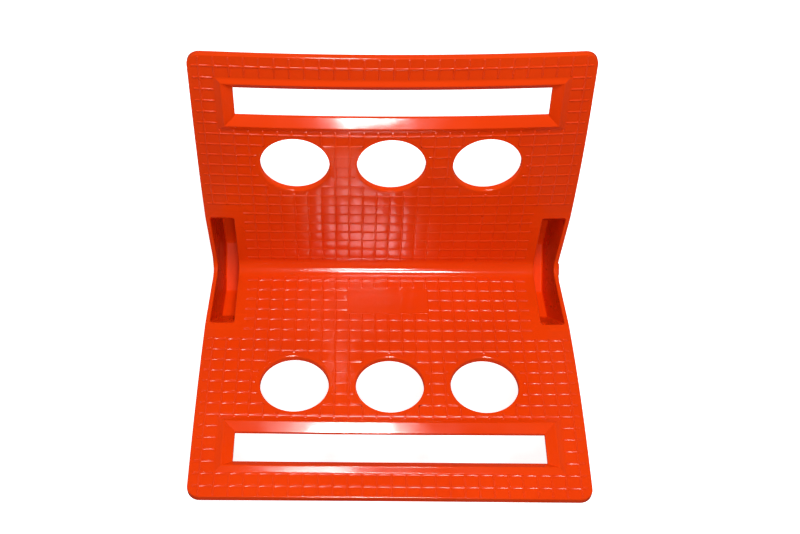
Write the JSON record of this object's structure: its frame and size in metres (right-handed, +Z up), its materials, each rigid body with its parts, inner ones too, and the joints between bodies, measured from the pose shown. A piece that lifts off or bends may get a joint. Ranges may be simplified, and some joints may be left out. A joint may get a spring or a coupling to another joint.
{
  "type": "strap corner protector",
  "caption": "V-shaped plastic corner protector for cargo straps, with a framed strap slot and a row of round holes in each wing and hollow strap guides behind the bend.",
  "frame": {"origin": "on the floor under the middle of the bend, at the level of the guide soles", "axes": "+X along the bend, +Z up and half way between the two wings, +Y towards the rear wing"},
  "size_m": [0.14, 0.1534, 0.0972],
  "materials": {
    "orange_shell": "glossy injection-moulded polyolefin, orange-red"
  },
  "bodies": {
    "root": {"front_wing": "orange_shell", "rear_wing": "orange_shell", "corner_bend": "orange_shell", "front_slot_frame": "orange_shell", "rear_slot_frame": "orange_shell", "front_grip_ridges": "orange_shell", "rear_grip_ridges": "orange_shell", "blank_label_pad": "orange_shell", "gate_nub": "orange_shell", "left_guide_inner_wall": "orange_shell", "left_guide_channel": "orange_shell", "left_guide_outer_wall": "orange_shell", "right_guide_inner_wall": "orange_shell", "right_guide_channel": "orange_shell", "right_guide_outer_wall": "orange_shell"}
  },
  "joints": []
}
